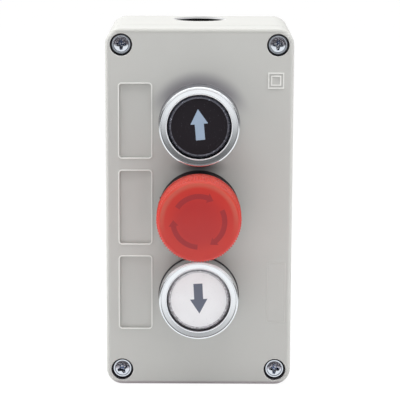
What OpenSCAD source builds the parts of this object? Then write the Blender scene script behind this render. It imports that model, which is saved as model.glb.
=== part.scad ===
/* [Enclosure] */
// Width of the box across its front
box_w = 70.5; // [68:0.5:90]
// Height of the box
box_h = 137; // [134:0.5:170]
// Depth of the closed box, from the wall to the face of the cover
box_d = 56; // [54:0.5:80]
// Radius of the four upright corners
corner_r = 6; // [4.6:0.2:7]
// Thickness of the side and back walls
wall = 3; // [2.6:0.1:3.6]
// Depth of the cover, from its face to the joint with the base
cover_d = 15; // [12:0.5:20]
// Thickness of the cover's face
cover_t = 3; // [2:0.1:4]
// Radius of the rounded front edge
edge_r = 1.5; // [0.8:0.1:2.2]
// Radius of the rounded back edge
back_edge_r = 1; // [0.4:0.2:1.6]

/* [Actuators] */
// Distance between the rows of the three actuators
pitch = 33; // [32:0.5:36]
// Diameter of the threaded barrels that pass through the cover
barrel_d = 22; // [21.4:0.1:22.6]
// Diameter of the bezels and of the black collar
bezel_d = 30; // [29:0.2:31]
// Height of a bezel in front of the cover
bezel_h = 9.4; // [9:0.2:12]
// Diameter of a bezel's bore
bezel_bore_d = 24; // [23.6:0.2:25]
// Height of the black collar in front of the cover
collar_h = 6; // [4.6:0.2:6.4]
// Travel of each button
travel = 4; // [3:0.1:4.2]
// Thickness of the seals under the bezels
seal_t = 0.6; // [0.4:0.1:1]

/* [Stop button] */
// Diameter over the ribs of the red head
head_d = 31.5; // [30.1:0.2:31.9]
// Height of the red head's crown in front of the cover
head_top = 23; // [22.5:0.5:28]
// Height of the red head's rear edge in front of the cover
head_rear = 10.5; // [10.5:0.5:13]
// Depth of the grip ribs
rib_depth = 0.55; // [0.2:0.05:0.6]
// Number of grip ribs
rib_count = 94; // [60:1:108]
// Rise of the front of the head from its edge to its middle
crown_rise = 0.9; // [0.5:0.1:1.5]

/* [Cable entry and fixing] */
// Diameter of the cable entry in the top wall
entry_d = 20.5; // [16.5:0.5:20.5]
// Distance of the cable entry's axis from the wall behind the box
entry_back = 14; // [13.5:0.5:20]
// Diameter of the four wall screw holes
fix_d = 4.5; // [4:0.1:5.5]
// Distance between the wall screw holes across
fix_w = 40; // [34:1:42]
// Distance between the wall screw holes up and down
fix_h = 112; // [104:1:113]
// Thread diameter of the cover screws
screw_d = 4; // [3.5:0.1:4.2]
// Diameter of the cover screws' heads
screw_head_d = 7.2; // [6.6:0.2:7.4]

/* [Label windows] */
// Width of a label window
label_w = 12; // [10:0.5:12]
// Height of a label window
label_h = 28; // [22:1:29]
// Depth of a label window
label_depth = 0.8; // [0.4:0.1:1.4]
// Distance of the label windows from the left edge of the box
label_edge = 5.2; // [4.6:0.1:5.4]

/* [Hidden] */
$fn = 96;
// Overrun of every cutting shape past the face that it cuts
over = 1;
// Rows of the actuators, counted in pitches from the middle of the box
UP_ROW = 1;
STOP_ROW = 0;
DOWN_ROW = -1;

// Clearance between a sliding stem and its guide, on the radius
guide_gap = 0.08;
// Clearance between pieces that thread or clip over each other, on the radius
thread_gap = 0.05;
// Clearance between a barrel and its hole in the cover, on the radius
panel_gap = 0.2;
// Clearance between a stop and the piece that it stops
stop_gap = 0.1;

// Cover joint: a rubber cord in a groove, pressed by a tongue on the base
groove_w = 1.6;
groove_depth = 2.4;
groove_inset = (wall - groove_w) / 2;
gasket_t = 1;
tongue_gap = 0.3;
// Shadow line sunk round the outside of the joint, half in the base and half in the cover
seam_w = 0.5;
seam_depth = 0.25;
// Wall between a cover screw's hole and the seal's groove, and outside the groove
seal_guard = 1.2;
pad_wall = 1.4;
seal_guard_r = screw_d / 2 + seal_guard;
pad_r = seal_guard_r + groove_w + pad_wall;

// Cover screws: seat of the head below the face, flange, dome and length
screw_seat = 3.2;
screw_flange_t = 1.7;
screw_flange_w = 0.65;
screw_dome_r = screw_head_d / 2 - screw_flange_w;
screw_dome_t = 0.6;
screw_len = 27;
screw_hole_depth = 30;
// Counterbore, its chamfered rim, and the flat left between the rim and the round edge
counterbore_gap = 0.6;
counterbore_r = screw_head_d / 2 + counterbore_gap;
counterbore_rim = 0.2;
counterbore_land = 0.1;
screw_edge = edge_r + counterbore_land + counterbore_rim + counterbore_r;
screw_x = box_w / 2 - screw_edge;
screw_y = box_h / 2 - screw_edge;
cross_w = 0.9;
cross_len = 4.6;
cross_depth = 1.5;

// Raised bead round each label window, and how far the windows lie above the actuators
bead_w = 0.45;
bead_h = 0.25;
label_corner_r = 1;
label_rise = 1;
label_x = -box_w / 2 + label_edge + label_w / 2;

// Double square, the mark of double insulation
mark_outer = 6;
mark_inner = 3.8;
mark_line = 0.45;
mark_edge = 6.65;
mark_rise = 16.3;
mark_x = box_w / 2 - mark_edge;
mark_y = pitch + mark_rise;

// Faint outline of the mould's blank insert at the lower right
insert_w = 7;
insert_h = 23.3;
insert_line = 0.2;
insert_depth = 0.1;
insert_edge = 5.75;
insert_x = box_w / 2 - insert_edge;

// Cable entry: thin lip left by the knock-out, and the blind one in the bottom wall
entry_lip = 0.8;
entry_relief_w = 1.2;
entry_relief_r = entry_d / 2 + entry_relief_w;
knockout_groove_w = 0.6;
knockout_groove_depth = 0.7;
fix_collar_w = 2;
fix_collar_r = fix_d / 2 + fix_collar_w;
fix_collar_h = 1.2;

// Barrel of an actuator. Levels are measured along its axis from the face of the cover,
// and are negative inside the box
barrel_r = barrel_d / 2;
barrel_wall = 1.5;
barrel_bore_r = barrel_r - barrel_wall;
// How far the barrel reaches behind the cover, and its flange on the seal
barrel_reach = 11;
barrel_len = cover_t + barrel_reach;
flange_t = 1.4;
flange_top = seal_t + flange_t;
flange_r = bezel_bore_d / 2 - thread_gap;
// Web that guides the stem and seats the spring, and its height above the barrel's end
web_t = 3;
web_up = 2;
web_z = web_up - barrel_len;
seat_z = web_z + web_t;
stem_r = 5;
guide_r = stem_r + guide_gap;
// How far a seal shows past the bezel
seal_lip = 0.3;

// Lock nut, with notches for its key
nut_t = 4;
nut_rim = 3.2;
nut_r = barrel_r + nut_rim;
nut_notch_w = 4;
nut_notch_depth = 1.2;
nut_notches = 6;

// Carrier
carrier_t = barrel_reach - nut_t;
carrier_w = 29;
carrier_corner_r = 2.5;
carrier_notch_w = 6;
carrier_notch_depth = 1.4;

// Crown of a bezel: its raised round rim, the dish that slopes in from it, and the bead
// round the bore
crown_rim_r = 0.6;
crown_step = 0.12;
crown_dish = 0.5;
crown_bead_r = 0.35;
crown_bead_rise = 0.14;
// Room left under a pressed button
press_gap = 0.4;
// Cap of a pushbutton: its gap in the bezel, its depth below the bezel and its bevelled rim
cap_gap = 0.3;
cap_sink = 1.4;
cap_rim_w = 1.2;
cap_bevel = 0.6;
cap_r = bezel_bore_d / 2 - cap_gap;
cap_base = flange_top + travel + press_gap;
cap_top = bezel_h - cap_sink;
// Disc set in the cap
disc_r = cap_r - cap_rim_w;
disc_t = 0.5;
disc_gap = 0.05;
// Flange of the stem, between the spring and the cap
stem_flange_gap = 0.5;
stem_flange_r = barrel_bore_r - stem_flange_gap;
stem_flange_t = 1;

// Arrow on a disc
arrow_len = 11.6;
arrow_head_w = 6.6;
arrow_head_len = 5.6;
arrow_shaft_w = 3.4;
arrow_t = 0.2;
up_arrow_turn = 5.3;
up_arrow_rise = 0.8;
down_arrow_turn = 183.2;
down_arrow_rise = 0.5;

// Clip that holds a stem against its spring
clip_t = 1;
clip_w = 1;
clip_r = stem_r + clip_w;
clip_groove_depth = 0.5;
clip_mouth_w = 3.4;
// How far a stem reaches past its barrel
stem_tail = 0.6;
stem_end = barrel_len + stem_tail;

// Return spring
spring_r = 7.2;
spring_wire_r = 0.4;
spring_turns = 7;
// Contact spring
contact_spring_r = 3.4;
contact_spring_wire_r = 0.25;
contact_spring_turns = 3;
spring_seat_gap = 0.02;
// Rings along one turn of wire, and sides of its section
rings_per_turn = 8;
wire_sides = 6;

// Contact block, hung behind the carrier
block_w = 30;
block_h = 26;
block_t = 26;
block_corner_r = 1.5;
block_z = -barrel_len - block_t;
plunger_r = 4;
pin_r = 2.5;
pin_gap = 0.1;
// Chamber that a pressed stem and its clip enter, and the plunger's guide below it
chamber_gap = 0.6;
chamber_r = clip_r + chamber_gap;
chamber_z = -stem_end - travel - chamber_gap;
plunger_guide_len = 3.4;
// Slot for the bridge and the fixed contacts, and the round well at its middle
slot_top = chamber_z - plunger_guide_len;
slot_h = 8;
well_r = 6;
plunger_flange_t = 1;
plunger_flange_w = 1.4;
plunger_flange_r = plunger_r + plunger_flange_w;
plunger_head_r = 3.6;
closed_flange_r = 4.2;
contact_spring_len = 3.8;
bridge_t = 1;
bridge_len = 17;
bridge_w = 6.4;
tip_r = 1.3;
tip_t = 0.6;
tip_x = 7;
strip_t = 1;
strip_w = 6;
strip_in = 5.5;
// Gap between the bridge's ends and the upright legs of the closed contacts
leg_gap = 0.4;
strip_leg_x = bridge_len / 2 + leg_gap;
// Gaps left at an open contact when it is pressed, and at a closed one at rest
contact_gap = 0.15;
closed_gap = 0.05;
// Levels of the bridge in the blocks that close and in the block that opens
open_bridge_top = slot_top - stop_gap - plunger_flange_t - contact_spring_len;
open_tip_z = open_bridge_top - bridge_t - travel - contact_gap;
slot_floor = open_tip_z - tip_t - strip_t;
closed_bridge_top = slot_top - strip_t - tip_t - closed_gap;
closed_pin_end = slot_floor + travel + contact_gap;

// Terminals: their threads stand clear of the upright legs
terminal_bore_r = 3.3;
terminal_head_r = 3;
terminal_head_t = 2.2;
terminal_washer_t = 0.6;
terminal_wire_gap = 1.2;
terminal_shank_r = 1.5;
terminal_land = 0.15;
terminal_x = strip_leg_x + strip_t + terminal_land + thread_gap + terminal_shank_r;
terminal_slot_w = 0.9;
terminal_slot_depth = 1;
wire_window_w = 4;
wire_window_h = 2.6;

// Stop button: hub, shell and shaft
head_r = head_d / 2;
head_core_r = head_r - rib_depth;
head_shoulder_r = 1.4;
dome_fn = 1080;
head_wall = 2.6;
rear_lip_t = 1;
// Ribs: how far their crests lie inside the lip, how deep their roots run into the core,
// and the length over which they fade out below the shoulder
rib_drop = 0.05;
rib_root = 0.15;
rib_slope = 0.3;
rib_crest_r = head_r - rib_drop;
rib_root_r = head_core_r - rib_root;
hub_wall = 3.2;
hub_r = stem_r + hub_wall;
shaft_flange_w = 3.6;
shaft_flange_r = stem_r + shaft_flange_w;
shaft_flange_t = 2;
shaft_flange_z = flange_top + travel + press_gap;
hub_z = shaft_flange_z + shaft_flange_t + stop_gap;
// Cover left over the shaft's end, and the bead that the hub snaps over
shaft_cover = 4;
shaft_top = head_top - shaft_cover;
snap_down = 3;
snap_z = shaft_top - snap_down;
snap_t = 1;
snap_w = 0.4;
snap_r = stem_r + snap_w;
collar_gap = 1.4;
collar_bore_r = shaft_flange_r + collar_gap;
collar_chamfer = 0.6;
// Two small ears of the stop button's seal at the left
ear_r = 0.45;
ear_out = 0.15;
ear_turns = [162, 170];

// Curved arrows on the head: the band, its head and where each begins and ends
band_in = 8.5;
band_w = 1.9;
band_head_w = 3.7;
band_t = 0.7;
band_tip_turn = 56;
band_head_turn = 14;
band_turn = 91;
band_lap_turn = 1;
band_count = 3;

// Latch ring that holds the stop button's shaft pressed
latch_w = 2.4;
latch_r = stem_r + latch_w;
latch_t = 1.1;
latch_down = 2.4;
latch_z = seat_z - latch_down;
latch_mouth_w = 5;
latch_groove_depth = 0.6;

// Places a shape drawn on the cover's face, with X right, Y up and Z out of the face
module on_cover() {
    translate([0, -box_d, 0])
        rotate([90, 0, 0])
            children();
}

// The same, on the axis of one actuator
module on_row(row) {
    on_cover()
        translate([0, row * pitch, 0])
            children();
}

// A ring about the Z axis between two radii and two levels
module ring(outer, inner, low, high) {
    translate([0, 0, low])
        difference() {
            cylinder(r = outer, h = high - low);
            translate([0, 0, -over])
                cylinder(r = inner, h = high - low + 2 * over);
        }
}

// A disc about the Z axis between two levels
module disc(r, low, high) {
    translate([0, 0, low])
        cylinder(r = r, h = high - low);
}

// A block centred on the Z axis between two levels
module block(w, h, low, high) {
    translate([-w / 2, -h / 2, low])
        cube([w, h, high - low]);
}

// A block with four upright round corners
module round_block(w, h, r, low, high) {
    block(w - 2 * r, h, low, high);
    block(w, h - 2 * r, low, high);
    for (sx = [-1, 1], sy = [-1, 1])
        translate([sx * (w / 2 - r), sy * (h / 2 - r), 0])
            disc(r, low, high);
}

// Section of a slab with one rounded edge, half or whole
module edge_section(half, t, f) {
    square([half - f, t]);
    square([half, t - f]);
    translate([half - f, t - f])
        circle(f);
}

module bar_section(w, t, f) {
    for (side = [0, 1])
        mirror([side, 0])
            edge_section(w / 2, t, f);
}

// A slab on z = 0 with round corners and a rounded top edge
module soft_slab(w, h, t, r, f) {
    for (sx = [-1, 1], sy = [-1, 1])
        translate([sx * (w / 2 - r), sy * (h / 2 - r), 0])
            rotate_extrude()
                edge_section(r, t, f);
    rotate([90, 0, 90])
        linear_extrude(w - 2 * r, center = true)
            bar_section(h, t, f);
    rotate([90, 0, 0])
        linear_extrude(h - 2 * r, center = true)
            bar_section(w, t, f);
}

// Repeats a shape at the four cover screws, turned so that its +X and +Y point outwards
module at_cover_screws() {
    for (mx = [0, 1], my = [0, 1])
        mirror([mx, 0, 0])
            mirror([0, my, 0])
                translate([screw_x, screw_y, 0])
                    children();
}

// The solid corner round a cover screw, out past the walls
module corner_pads(r, low, high) {
    out = screw_edge + over;
    at_cover_screws() {
        disc(r, low, high);
        translate([-r, 0, low])
            cube([r + out, out, high - low]);
        translate([0, -r, low])
            cube([out, r + out, high - low]);
    }
}

// The area inside the seal's path, which passes inside the cover screws
module sealed_area(inset, low, high) {
    difference() {
        round_block(box_w - 2 * inset, box_h - 2 * inset, corner_r - inset, low, high);
        corner_pads(seal_guard_r + inset - groove_inset, low - over, high + over);
    }
}

module seal_path(inset, width, low, high) {
    difference() {
        sealed_area(inset, low, high);
        sealed_area(inset + width, low - over, high + over);
    }
}

// Housing

// Cuts the shadow line at the joint between the base and the cover
module seam() {
    low = -cover_d - seam_w / 2;
    high = -cover_d + seam_w / 2;
    difference() {
        round_block(box_w + 2 * over, box_h + 2 * over, corner_r + over, low, high);
        round_block(box_w - 2 * seam_depth, box_h - 2 * seam_depth, corner_r - seam_depth,
            low - over, high + over);
    }
}

module base_body() {
    mirror([0, 0, 1])
        translate([0, 0, cover_d])
            soft_slab(box_w, box_h, box_d - cover_d, corner_r, back_edge_r);
}

module at_wall_holes() {
    for (sx = [-1, 1], sy = [-1, 1])
        translate([sx * fix_w / 2, sy * fix_h / 2, -box_d])
            children();
}

module cable_axis() {
    translate([0, 0, -box_d + entry_back])
        rotate([-90, 0, 0])
            children();
}

module base_shell() {
    color([0.76, 0.76, 0.74])
        on_cover()
            difference() {
                union() {
                    difference() {
                        base_body();
                        round_block(box_w - 2 * wall, box_h - 2 * wall, corner_r - wall,
                            -box_d + wall, -cover_d + over);
                    }
                    intersection() {
                        base_body();
                        corner_pads(pad_r, -box_d, -cover_d);
                    }
                    seal_path(groove_inset + tongue_gap, groove_w - 2 * tongue_gap,
                        -cover_d - over, -cover_d + groove_depth - gasket_t);
                    at_wall_holes()
                        disc(fix_collar_r, wall / 2, wall + fix_collar_h);
                }
                at_cover_screws()
                    disc(screw_d / 2 + thread_gap, -cover_d - screw_hole_depth + over, over);
                at_wall_holes()
                    disc(fix_d / 2, -over, wall + fix_collar_h + over);
                cable_axis() {
                    disc(entry_d / 2, box_h / 2 - wall - over, box_h / 2 + over);
                    disc(entry_relief_r, box_h / 2 - wall - over, box_h / 2 - entry_lip);
                }
                mirror([0, 1, 0])
                    cable_axis()
                        ring(entry_d / 2, entry_d / 2 - knockout_groove_w,
                            box_h / 2 - knockout_groove_depth, box_h / 2 + over);
                seam();
            }
}

module cover_body() {
    translate([0, 0, -cover_d])
        soft_slab(box_w, box_h, cover_d, corner_r, edge_r);
}

// Repeats a shape at the three label windows
module at_labels() {
    for (row = [UP_ROW, STOP_ROW, DOWN_ROW])
        translate([label_x, row * pitch + label_rise, 0])
            children();
}

module square_frame(size, line, low, high) {
    difference() {
        block(size, size, low, high);
        block(size - 2 * line, size - 2 * line, low - over, high + over);
    }
}

module front_cover() {
    color([0.76, 0.76, 0.74])
        on_cover()
            difference() {
                union() {
                    difference() {
                        cover_body();
                        round_block(box_w - 2 * wall, box_h - 2 * wall, corner_r - wall,
                            -cover_d - over, -cover_t);
                    }
                    intersection() {
                        cover_body();
                        corner_pads(pad_r, -cover_d, -cover_t / 2);
                    }
                    at_labels()
                        round_block(label_w + 2 * bead_w, label_h + 2 * bead_w,
                            label_corner_r + bead_w, -cover_t / 2, bead_h);
                    translate([mark_x, mark_y, 0]) {
                        square_frame(mark_outer, mark_line, -cover_t / 2, bead_h);
                        square_frame(mark_inner, mark_line, -cover_t / 2, bead_h);
                    }
                }
                at_labels()
                    round_block(label_w, label_h, label_corner_r, -label_depth, bead_h + over);
                for (row = [UP_ROW, STOP_ROW, DOWN_ROW])
                    translate([0, row * pitch, 0])
                        disc(barrel_r + panel_gap, -cover_t - over, over);
                at_cover_screws() {
                    disc(screw_d / 2 + panel_gap, -cover_d - over, over);
                    disc(counterbore_r, -screw_seat, over);
                    translate([0, 0, -counterbore_rim])
                        cylinder(r1 = counterbore_r, r2 = counterbore_r + counterbore_rim + over,
                            h = counterbore_rim + over);
                }
                seal_path(groove_inset, groove_w, -cover_d - over, -cover_d + groove_depth);
                translate([insert_x, -pitch + label_rise, 0])
                    difference() {
                        block(insert_w, insert_h, -insert_depth, over);
                        block(insert_w - 2 * insert_line, insert_h - 2 * insert_line,
                            -insert_depth - over, 2 * over);
                    }
                seam();
            }
}

module cover_gasket() {
    color([0.12, 0.12, 0.12])
        on_cover()
            seal_path(groove_inset, groove_w,
                -cover_d + groove_depth - gasket_t, -cover_d + groove_depth);
}

module cover_screws() {
    color([0.78, 0.8, 0.82])
        on_cover()
            at_cover_screws()
                translate([0, 0, -screw_seat])
                    difference() {
                        union() {
                            disc(screw_d / 2, -screw_len, screw_flange_t);
                            disc(screw_head_d / 2, 0, screw_flange_t);
                            translate([0, 0, screw_flange_t])
                                cylinder(r1 = screw_dome_r, r2 = screw_dome_r - screw_dome_t,
                                    h = screw_dome_t);
                        }
                        for (turn = [0, 90])
                            rotate([0, 0, turn])
                                block(cross_len, cross_w,
                                    screw_flange_t + screw_dome_t - cross_depth,
                                    screw_flange_t + screw_dome_t + over);
                    }
}

// Pieces that all three actuators have

module panel_seal(row) {
    color([0.1, 0.1, 0.11])
        on_row(row)
            ring(bezel_d / 2 + seal_lip, barrel_r + panel_gap, 0, seal_t);
}

// The barrel: a flange on the seal, a tube through the cover and a web that guides the stem
module barrel_form() {
    difference() {
        union() {
            disc(flange_r, seal_t, flange_top);
            disc(barrel_r, -barrel_len, flange_top);
        }
        disc(barrel_bore_r, seat_z, flange_top + over);
        disc(guide_r, web_z - over, flange_top);
        disc(barrel_bore_r, -barrel_len - over, web_z);
    }
}

module barrel(row) {
    color([0.13, 0.13, 0.14])
        on_row(row)
            barrel_form();
}

module lock_nut(row) {
    color([0.7, 0.7, 0.68])
        on_row(row)
            difference() {
                ring(nut_r, barrel_r + thread_gap, -cover_t - nut_t, -cover_t);
                for (i = [0 : nut_notches - 1])
                    rotate([0, 0, i * 360 / nut_notches])
                        translate([nut_r, 0, 0])
                            block(2 * nut_notch_depth, nut_notch_w,
                                -cover_t - nut_t - over, -cover_t + over);
            }
}

// The metal frame that clamps on the barrel and carries the contact block
module carrier(row) {
    color([0.62, 0.63, 0.64])
        on_row(row)
            difference() {
                round_block(carrier_w, carrier_w, carrier_corner_r,
                    -barrel_len, -barrel_len + carrier_t);
                disc(barrel_r + thread_gap, -barrel_len - over, -barrel_len + carrier_t + over);
                for (side = [-1, 1])
                    translate([side * carrier_w / 2, 0, 0])
                        block(2 * carrier_notch_depth, carrier_notch_w,
                            -barrel_len - over, -barrel_len + carrier_t + over);
            }
}

// Round wire wound about the Z axis between two levels, as one unbroken tube
function wire_ring(mean_r, wire_r, z, turn) = [
    for (k = [0 : wire_sides - 1])
        let (a = 360 * k / wire_sides, r = mean_r + wire_r * cos(a))
            [r * cos(turn), r * sin(turn), z + wire_r * sin(a)]
];

function coil_rings(mean_r, wire_r, turns, low, high) =
    let (n = turns * rings_per_turn, z0 = low + wire_r + spring_seat_gap,
        z1 = high - wire_r - spring_seat_gap)
    [
        for (i = [0 : n])
            wire_ring(mean_r, wire_r, z0 + (z1 - z0) * i / n, 360 * i / rings_per_turn)
    ];

function flat(lists) = [for (l = lists) each l];

// Least distance between the points of one turn and those of the next
function coil_gap(rings) = min([
    for (i = [0 : len(rings) - 1 - rings_per_turn], a = rings[i], b = rings[i + rings_per_turn])
        norm(a - b)
]);

module coil(mean_r, wire_r, turns, low, high) {
    rings = coil_rings(mean_r, wire_r, turns, low, high);
    last = len(rings) - 1;
    m = wire_sides;
    echo(least_gap_between_turns = coil_gap(rings));
    polyhedron(
        points = flat(rings),
        faces = [
            for (k = [1 : m - 2])
                [0, k, k + 1],
            for (i = [0 : last - 1], k = [0 : m - 1])
                let (a = i * m + k, b = i * m + (k + 1) % m)
                    each [[a, a + m, b + m], [a, b + m, b]],
            for (k = [1 : m - 2])
                [last * m, last * m + k + 1, last * m + k],
        ]
    );
}

module return_spring(row, high) {
    color([0.8, 0.8, 0.82])
        on_row(row)
            coil(spring_r, spring_wire_r, spring_turns, seat_z, high);
}

// A spring clip with an open mouth, in a groove of the stem
module clip(row) {
    color([0.75, 0.76, 0.78])
        on_row(row)
            difference() {
                ring(clip_r, stem_r - clip_groove_depth,
                    web_z - stop_gap - clip_t, web_z - stop_gap);
                translate([stem_r, 0, 0])
                    block(2 * stem_r, clip_mouth_w,
                        web_z - stop_gap - clip_t - over, web_z - stop_gap + over);
            }
}

module clip_groove() {
    ring(stem_r + over, stem_r - clip_groove_depth, web_z - stop_gap - clip_t, web_z - stop_gap);
}

// Contact blocks

module contact_housing(row) {
    color([0.2, 0.2, 0.21])
        on_row(row)
            difference() {
                round_block(block_w, block_h, block_corner_r, block_z, -barrel_len);
                disc(chamber_r, chamber_z, -barrel_len + over);
                disc(plunger_r + guide_gap, slot_top - over, chamber_z + over);
                disc(well_r, slot_floor, slot_top);
                block(block_w + 2 * over, slot_h, slot_floor, slot_top);
                for (side = [-1, 1])
                    translate([side * terminal_x, 0, 0]) {
                        disc(terminal_bore_r, block_z - over, slot_floor + over);
                        translate([side * block_w / 2, 0, 0])
                            block(block_w, wire_window_w,
                                slot_floor - wire_window_h, slot_floor + over);
                    }
            }
}

module open_contact_plunger(row) {
    color([0.86, 0.86, 0.82])
        on_row(row) {
            disc(plunger_r, slot_top - stop_gap, -stem_end);
            disc(plunger_flange_r, slot_top - stop_gap - plunger_flange_t, slot_top - stop_gap);
            disc(pin_r, open_bridge_top - bridge_t, slot_top - stop_gap);
            disc(plunger_head_r, open_bridge_top - 2 * bridge_t, open_bridge_top - bridge_t);
        }
}

module closed_contact_plunger(row) {
    color([0.86, 0.86, 0.82])
        on_row(row) {
            disc(plunger_r, closed_bridge_top, -stem_end);
            disc(pin_r, closed_pin_end, closed_bridge_top);
            disc(closed_flange_r, closed_pin_end, closed_pin_end + plunger_flange_t);
        }
}

// The moving bridge, a strip with a hole for the plunger's pin
module contact_bridge(row, top) {
    color([0.8, 0.6, 0.4])
        on_row(row)
            difference() {
                block(bridge_len, bridge_w, top - bridge_t, top);
                disc(pin_r + pin_gap, top - bridge_t - over, top + over);
            }
}

module contact_spring(row, low, high) {
    color([0.8, 0.8, 0.82])
        on_row(row)
            coil(contact_spring_r, contact_spring_wire_r, contact_spring_turns, low, high);
}

// The outer arm of a fixed contact, with the terminal's thread
module terminal_arm(inner) {
    difference() {
        translate([inner, -strip_w / 2, slot_floor])
            cube([block_w / 2 - inner, strip_w, strip_t]);
        translate([terminal_x, 0, 0])
            disc(terminal_shank_r + thread_gap, slot_floor - over, slot_floor + strip_t + over);
    }
}

module open_fixed_contacts(row) {
    color([0.82, 0.66, 0.42])
        on_row(row)
            for (side = [0, 1])
                mirror([side, 0, 0]) {
                    terminal_arm(strip_in);
                    translate([tip_x, 0, 0])
                        disc(tip_r, slot_floor + strip_t, open_tip_z);
                }
}

module closed_fixed_contacts(row) {
    color([0.82, 0.66, 0.42])
        on_row(row)
            for (side = [0, 1])
                mirror([side, 0, 0]) {
                    terminal_arm(strip_leg_x);
                    translate([strip_leg_x, -strip_w / 2, slot_floor])
                        cube([strip_t, strip_w, slot_top - slot_floor]);
                    translate([strip_in, -strip_w / 2, slot_top - strip_t])
                        cube([strip_leg_x + strip_t - strip_in, strip_w, strip_t]);
                    translate([tip_x, 0, 0])
                        disc(tip_r, slot_top - strip_t - tip_t, slot_top - strip_t);
                }
}

// Terminal screws with captive washers, backed off and ready for the wires
module terminal_screws(row) {
    washer_z = slot_floor - terminal_wire_gap;
    head_z = washer_z - terminal_washer_t;
    color([0.75, 0.76, 0.78])
        on_row(row)
            for (side = [-1, 1])
                translate([side * terminal_x, 0, 0])
                    difference() {
                        union() {
                            disc(terminal_shank_r, head_z, slot_floor + strip_t);
                            disc(terminal_bore_r - stop_gap, head_z, washer_z);
                            disc(terminal_head_r, head_z - terminal_head_t, head_z);
                        }
                        block(2 * terminal_bore_r, terminal_slot_w,
                            head_z - terminal_head_t - over,
                            head_z - terminal_head_t + terminal_slot_depth);
                    }
}

// Pushbuttons

// Half section of a bezel turned from bar, with X from its axis
module bezel_section() {
    bore_r = bezel_bore_d / 2;
    rim_x = bezel_d / 2 - crown_rim_r;
    dish_z = bezel_h - crown_step;
    body_z = dish_z - crown_dish - crown_rim_r;
    translate([bore_r, seal_t])
        square([bezel_d / 2 - bore_r, body_z - seal_t]);
    translate([rim_x, bezel_h - crown_rim_r])
        circle(crown_rim_r);
    translate([rim_x, seal_t])
        square([crown_rim_r, bezel_h - crown_rim_r - seal_t]);
    polygon([
        [bore_r, body_z - crown_rim_r],
        [rim_x, body_z - crown_rim_r],
        [rim_x, dish_z],
        [bore_r + crown_bead_r, dish_z - crown_dish],
        [bore_r, dish_z - crown_dish],
    ]);
    intersection() {
        translate([bore_r, body_z])
            square([2 * crown_bead_r, bezel_h - body_z]);
        translate([bore_r + crown_bead_r / 2, dish_z - crown_dish + crown_bead_rise - crown_bead_r])
            circle(crown_bead_r);
    }
}

module button_bezel(row) {
    color([0.86, 0.88, 0.9])
        on_row(row)
            rotate_extrude()
                bezel_section();
}

module button_cap(row) {
    on_row(row)
        difference() {
            union() {
                disc(cap_r, cap_base, cap_top - cap_bevel);
                translate([0, 0, cap_top - cap_bevel])
                    cylinder(r1 = cap_r, r2 = cap_r - cap_bevel, h = cap_bevel);
            }
            disc(disc_r + disc_gap, cap_top - disc_t, cap_top + over);
        }
}

// A straight arrow drawn about the origin and pointing along +Y
module arrow_outline() {
    tip = arrow_len / 2;
    neck = tip - arrow_head_len;
    polygon([
        [0, tip], [-arrow_head_w / 2, neck], [-arrow_shaft_w / 2, neck],
        [-arrow_shaft_w / 2, -tip], [arrow_shaft_w / 2, -tip],
        [arrow_shaft_w / 2, neck], [arrow_head_w / 2, neck],
    ]);
}

module arrow_form(turn, rise, high) {
    translate([0, rise, cap_top - arrow_t])
        rotate([0, 0, turn])
            linear_extrude(high)
                arrow_outline();
}

module symbol_disc(row, turn, rise) {
    on_row(row)
        difference() {
            disc(disc_r, cap_top - disc_t, cap_top);
            arrow_form(turn, rise, arrow_t + over);
        }
}

module button_stem(row) {
    color([0.86, 0.86, 0.84])
        on_row(row)
            difference() {
                union() {
                    disc(stem_r, -stem_end, cap_base);
                    disc(stem_flange_r, cap_base - stem_flange_t, cap_base);
                }
                clip_groove();
            }
}

// Nodes of the upper pushbutton

module up_bezel() { button_bezel(UP_ROW); }
module up_panel_seal() { panel_seal(UP_ROW); }
module up_barrel() { barrel(UP_ROW); }
module up_lock_nut() { lock_nut(UP_ROW); }
module up_carrier() { carrier(UP_ROW); }
module up_cap() { color([0.17, 0.17, 0.2]) button_cap(UP_ROW); }
module up_symbol_disc() { color([0.14, 0.13, 0.15]) symbol_disc(UP_ROW, up_arrow_turn, up_arrow_rise); }
module up_arrow() {
    color([0.6, 0.64, 0.72])
        on_row(UP_ROW)
            arrow_form(up_arrow_turn, up_arrow_rise, arrow_t);
}
module up_stem() { button_stem(UP_ROW); }
module up_stem_clip() { clip(UP_ROW); }
module up_return_spring() { return_spring(UP_ROW, cap_base - stem_flange_t); }
module up_contact_housing() { contact_housing(UP_ROW); }
module up_contact_plunger() { open_contact_plunger(UP_ROW); }
module up_contact_bridge() { contact_bridge(UP_ROW, open_bridge_top); }
module up_contact_spring() {
    contact_spring(UP_ROW, open_bridge_top, open_bridge_top + contact_spring_len);
}
module up_fixed_contacts() { open_fixed_contacts(UP_ROW); }
module up_terminal_screws() { terminal_screws(UP_ROW); }

// Nodes of the lower pushbutton

module down_bezel() { button_bezel(DOWN_ROW); }
module down_panel_seal() { panel_seal(DOWN_ROW); }
module down_barrel() { barrel(DOWN_ROW); }
module down_lock_nut() { lock_nut(DOWN_ROW); }
module down_carrier() { carrier(DOWN_ROW); }
module down_cap() { color([0.62, 0.64, 0.68]) button_cap(DOWN_ROW); }
module down_symbol_disc() {
    color([0.89, 0.89, 0.9])
        symbol_disc(DOWN_ROW, down_arrow_turn, down_arrow_rise);
}
module down_arrow() {
    color([0.4, 0.42, 0.48])
        on_row(DOWN_ROW)
            arrow_form(down_arrow_turn, down_arrow_rise, arrow_t);
}
module down_stem() { button_stem(DOWN_ROW); }
module down_stem_clip() { clip(DOWN_ROW); }
module down_return_spring() { return_spring(DOWN_ROW, cap_base - stem_flange_t); }
module down_contact_housing() { contact_housing(DOWN_ROW); }
module down_contact_plunger() { open_contact_plunger(DOWN_ROW); }
module down_contact_bridge() { contact_bridge(DOWN_ROW, open_bridge_top); }
module down_contact_spring() {
    contact_spring(DOWN_ROW, open_bridge_top, open_bridge_top + contact_spring_len);
}
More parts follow.
